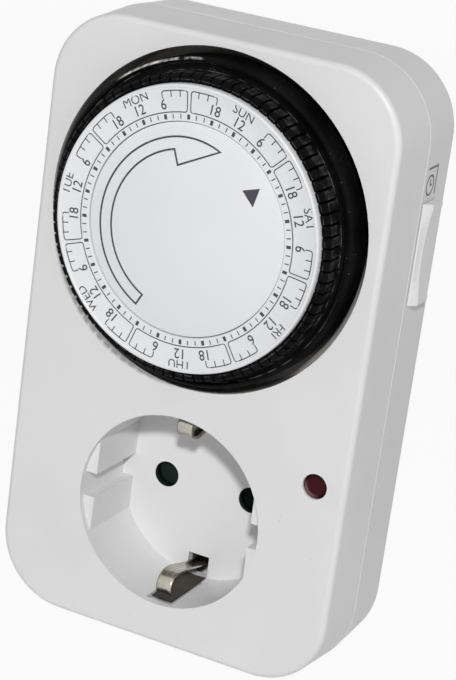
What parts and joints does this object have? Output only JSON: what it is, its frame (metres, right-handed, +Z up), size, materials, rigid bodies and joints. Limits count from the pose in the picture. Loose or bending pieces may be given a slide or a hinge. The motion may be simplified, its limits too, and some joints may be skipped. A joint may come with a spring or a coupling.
{
  "type": "plug-in timer switch",
  "caption": "Plug-in mechanical timer with an earthed socket recess in front, a pin plug behind, a round switching dial with push-in tabs, a pilot lamp and a side slider.",
  "frame": {"origin": "midway between the two plug pins, on the plug's end face", "axes": "+Y along the plug pins, away from the housing; +Z up towards the dial; +X to the right seen from the front"},
  "size_m": [0.075, 0.0722, 0.1223],
  "materials": {
    "housing_white": "fine satin",
    "dial_black": "satin",
    "dial_white": "satin, printed in grey",
    "slider_white": "satin",
    "gear_plastic": "moulded",
    "sheet_steel": "zinc plated",
    "switch_black": "moulded",
    "nickel": "nickel plated",
    "contact_brass": "rolled",
    "insulation": "moulded",
    "lamp_red": "clear red",
    "lamp_glass": "clear",
    "resistor_body": "matt"
  },
  "bodies": {
    "housing": {"front_cover": "housing_white", "rear_cover": "housing_white", "centre_cap": "dial_white", "chassis_plate": "sheet_steel", "motor_can": "sheet_steel", "chassis_screws": "sheet_steel", "housing_screws": "sheet_steel", "lever_pivot": "sheet_steel", "shutter_spring": "sheet_steel", "snap_switch": "switch_black", "slider_switch": "switch_black", "neutral_pin": "nickel", "live_pin": "nickel", "earth_spring_upper": "nickel", "earth_spring_lower": "nickel", "neutral_sleeve": "contact_brass", "live_sleeve": "contact_brass", "live_out_strip": "contact_brass", "live_feed_strip": "contact_brass", "earth_link": "contact_brass", "contact_carrier": "insulation", "lamp_window": "lamp_red", "neon_lamp": "lamp_glass", "lamp_resistor": "resistor_body"},
    "dial": {"dial_wheel": "dial_black", "scale_ring": "dial_white"},
    "tabs_day_1": {"tabs_day_1": "dial_black"},
    "tabs_day_2": {"tabs_day_2": "dial_black"},
    "tabs_day_3": {"tabs_day_3": "dial_black"},
    "tabs_day_4": {"tabs_day_4": "dial_black"},
    "tabs_day_5": {"tabs_day_5": "dial_black"},
    "tabs_day_6": {"tabs_day_6": "dial_black"},
    "tabs_day_7": {"tabs_day_7": "dial_black"},
    "transfer": {"transfer_gear": "gear_plastic"},
    "rotor": {"motor_pinion": "gear_plastic"},
    "trip": {"trip_lever": "switch_black"},
    "slider": {"mode_slider": "slider_white"},
    "shutter": {"shutter": "insulation"}
  },
  "joints": [
    {"name": "dial_spin", "type": "hinge", "parent": "housing", "child": "dial", "pos_m": [0, -0.045, 0.0585], "axis": [0, 1, 0], "continuous": true},
    {"name": "tabs_day_1_push", "type": "slide", "parent": "dial", "child": "tabs_day_1", "axis": [0, 1, 0], "range_m": [0, 0.003]},
    {"name": "tabs_day_2_push", "type": "slide", "parent": "dial", "child": "tabs_day_2", "axis": [0, 1, 0], "range_m": [0, 0.003]},
    {"name": "tabs_day_3_push", "type": "slide", "parent": "dial", "child": "tabs_day_3", "axis": [0, 1, 0], "range_m": [0, 0.003]},
    {"name": "tabs_day_4_push", "type": "slide", "parent": "dial", "child": "tabs_day_4", "axis": [0, 1, 0], "range_m": [0, 0.003]},
    {"name": "tabs_day_5_push", "type": "slide", "parent": "dial", "child": "tabs_day_5", "axis": [0, 1, 0], "range_m": [0, 0.003]},
    {"name": "tabs_day_6_push", "type": "slide", "parent": "dial", "child": "tabs_day_6", "axis": [0, 1, 0], "range_m": [0, 0.003]},
    {"name": "tabs_day_7_push", "type": "slide", "parent": "dial", "child": "tabs_day_7", "axis": [0, 1, 0], "range_m": [0, 0.003]},
    {"name": "transfer_spin", "type": "hinge", "parent": "housing", "child": "transfer", "pos_m": [-0.021, -0.035, 0.0585], "axis": [0, 1, 0], "continuous": true},
    {"name": "rotor_spin", "type": "hinge", "parent": "housing", "child": "rotor", "pos_m": [-0.014, -0.034, 0.07062], "axis": [0, 1, 0], "continuous": true},
    {"name": "trip_tilt", "type": "hinge", "parent": "housing", "child": "trip", "pos_m": [0.021, -0.0326, 0.0585], "axis": [0, 0, 1], "range_deg": [0, 6], "stiffness_Nm_per_rad": 0.002, "springref_deg": -11.46},
    {"name": "mode_slide", "type": "slide", "parent": "housing", "child": "slider", "axis": [0, 0, 1], "range_m": [-0.004, 0]},
    {"name": "shutter_turn", "type": "hinge", "parent": "housing", "child": "shutter", "pos_m": [0, -0.0247, 0], "axis": [0, 1, 0], "range_deg": [0, 42], "stiffness_Nm_per_rad": 0.0005, "springref_deg": -17.19}
  ],
  "couplings": [
    {"joint": "transfer_spin", "follows": "dial_spin", "ratio": -6},
    {"joint": "rotor_spin", "follows": "dial_spin", "ratio": 36}
  ]
}
